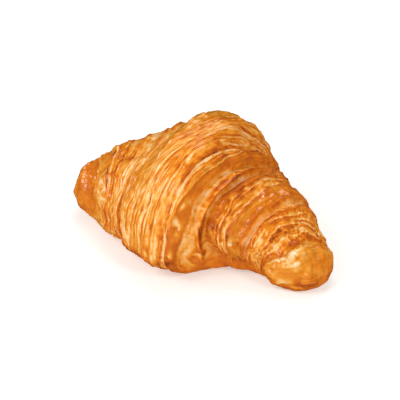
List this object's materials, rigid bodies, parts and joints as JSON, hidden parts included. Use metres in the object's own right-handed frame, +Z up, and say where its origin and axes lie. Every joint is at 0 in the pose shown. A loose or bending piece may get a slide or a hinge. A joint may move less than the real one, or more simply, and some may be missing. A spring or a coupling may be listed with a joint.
{
  "type": "croissant",
  "caption": "Plain straight butter croissant: rolled laminated dough with leaning wraps, a high middle, two tapered tips and a flat base.",
  "frame": {"origin": "middle of the croissant's base, on the surface that it lies on", "axes": "+X along the roll towards the broad tip, +Y towards the back, +Z up"},
  "size_m": [0.1528, 0.1022, 0.07],
  "materials": {
    "crust": "egg-washed baked crust: glossy deep orange skins, paler flaky ridges between the wraps, dark brown along the base edge"
  },
  "bodies": {
    "root": {"croissant": "crust"}
  },
  "joints": []
}
